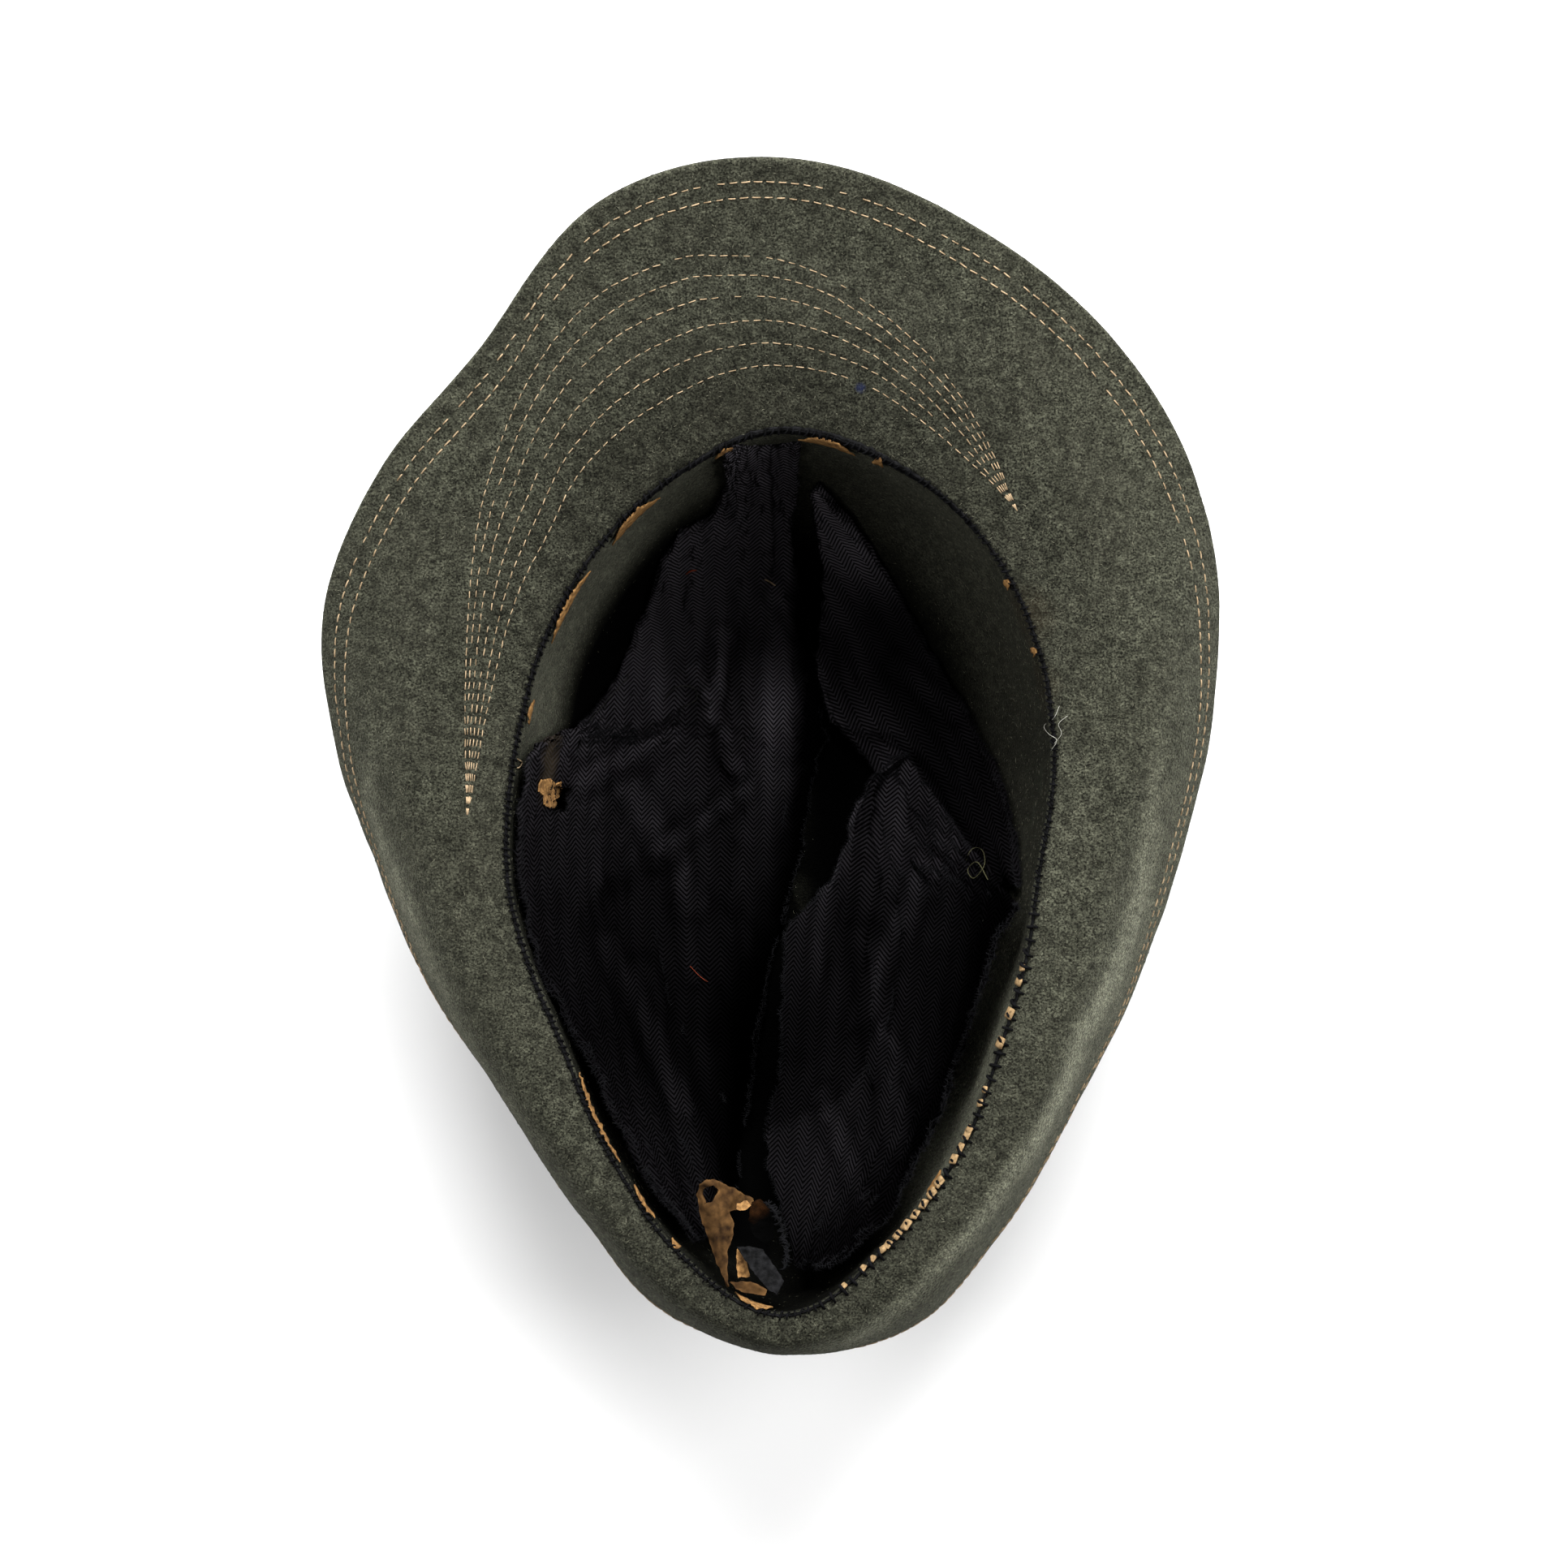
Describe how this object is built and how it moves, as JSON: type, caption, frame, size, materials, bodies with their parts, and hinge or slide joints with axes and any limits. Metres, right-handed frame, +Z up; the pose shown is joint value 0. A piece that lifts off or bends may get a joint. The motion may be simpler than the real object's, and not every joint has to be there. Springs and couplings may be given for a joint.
{
  "type": "alpine hat",
  "caption": "Old felt alpine hat lying on its crown, with a creased crown, a brim wide in front and rolled at the sides and back, and a torn lining.",
  "frame": {"origin": "on the resting surface, below the middle of the hat's bounding box", "axes": "+Z up, out of the head opening; +Y towards the front of the hat; +X towards the right of the picture"},
  "size_m": [0.2232, 0.297, 0.125],
  "materials": {
    "felt": "matte grey-green wool felt with a short nap",
    "lining": "black herringbone cotton with a faint sheen",
    "leather_dark": "black grain side, worn",
    "leather_tan": "tan flesh side, torn and matte"
  },
  "bodies": {
    "root": {"felt_body": "felt", "lining_left": "lining", "lining_strip": "lining", "lining_flap": "lining", "sweatband_strip": "leather_dark", "sweatband_flap": "leather_dark", "sweatband_patch": "leather_tan", "sweatband_curl": "leather_tan", "sweatband_shred": "leather_tan"}
  },
  "joints": []
}
